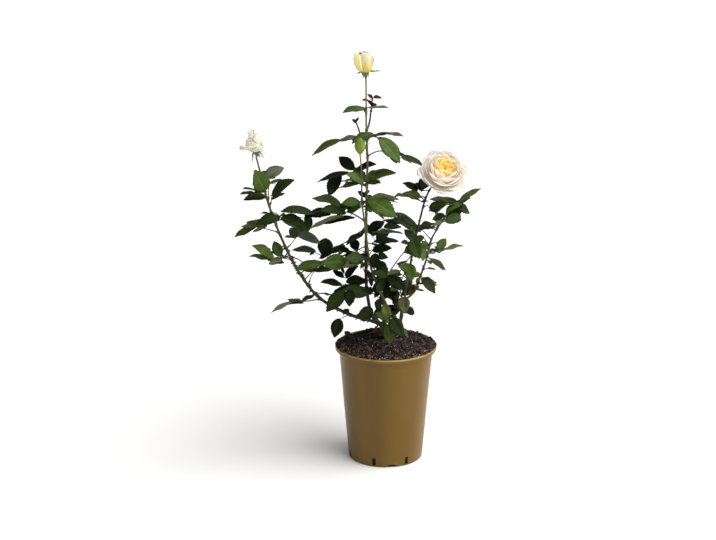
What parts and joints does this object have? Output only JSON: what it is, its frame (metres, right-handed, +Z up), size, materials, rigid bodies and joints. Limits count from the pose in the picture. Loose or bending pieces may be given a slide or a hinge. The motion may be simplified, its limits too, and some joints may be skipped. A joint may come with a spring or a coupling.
{
  "type": "rose bush",
  "caption": "Potted rose bush: thin branching canes with open sprays of serrated leaves, a full pale apricot bloom and pointed buds, in a tall round nursery pot.",
  "frame": {"origin": "centre of the pot's flat underside", "axes": "+Z up through the pot and plant; -Y is the side the open bloom looks to; +X is the side of the open bloom"},
  "size_m": [0.4786, 0.2844, 0.8079],
  "materials": {
    "pot": "satin moulded plastic, bronze brown",
    "compost": "loose dark bark compost",
    "bark": "dark green bark with prickles",
    "green_shoot": "smooth young green rind",
    "leaves": "leathery leaf, satin on top, matte below",
    "petals": "soft velvety petal",
    "green_bud": "closed green sepals"
  },
  "bodies": {
    "root": {"pot": "pot", "soil": "compost", "graft_union": "bark", "cane_left_lower": "bark", "cane_left_upper": "bark", "cane_centre": "bark", "shoot_centre": "green_shoot", "cane_right_base": "bark", "cane_right_bloom": "bark", "cane_right_shoot": "bark", "bloom_right": "petals", "bud_top": "petals", "bud_left": "petals", "bud_green": "green_bud", "leaves_left_top": "leaves", "leaves_left_tip": "leaves", "leaves_left_outer": "leaves", "leaves_left_middle": "leaves", "leaves_left_knee": "leaves", "leaves_left_inner": "leaves", "leaves_fan_left": "leaves", "leaves_left_low": "leaves", "leaves_high_left": "leaves", "leaves_upper_left": "leaves", "leaves_centre_left": "leaves", "leaves_inner_left": "leaves", "leaves_fan_right": "leaves", "leaves_low_left": "leaves", "leaves_hanging": "leaves", "leaves_foot_left": "leaves", "leaves_foot_front": "leaves", "leaves_top": "leaves", "leaves_young": "leaves", "leaves_upper_right": "leaves", "leaves_upper_centre": "leaves", "leaves_front": "leaves", "leaves_centre_right": "leaves", "leaves_centre_back": "leaves", "leaves_centre_low": "leaves", "leaves_right_inner": "leaves", "leaves_right_low": "leaves", "leaves_low_right": "leaves", "leaves_under_bloom": "leaves", "leaves_right_top": "leaves", "leaves_right_middle": "leaves", "leaves_right_bend": "leaves", "leaves_right_outer": "leaves", "leaves_right_tail": "leaves", "leaves_right_foot": "leaves"}
  },
  "joints": []
}
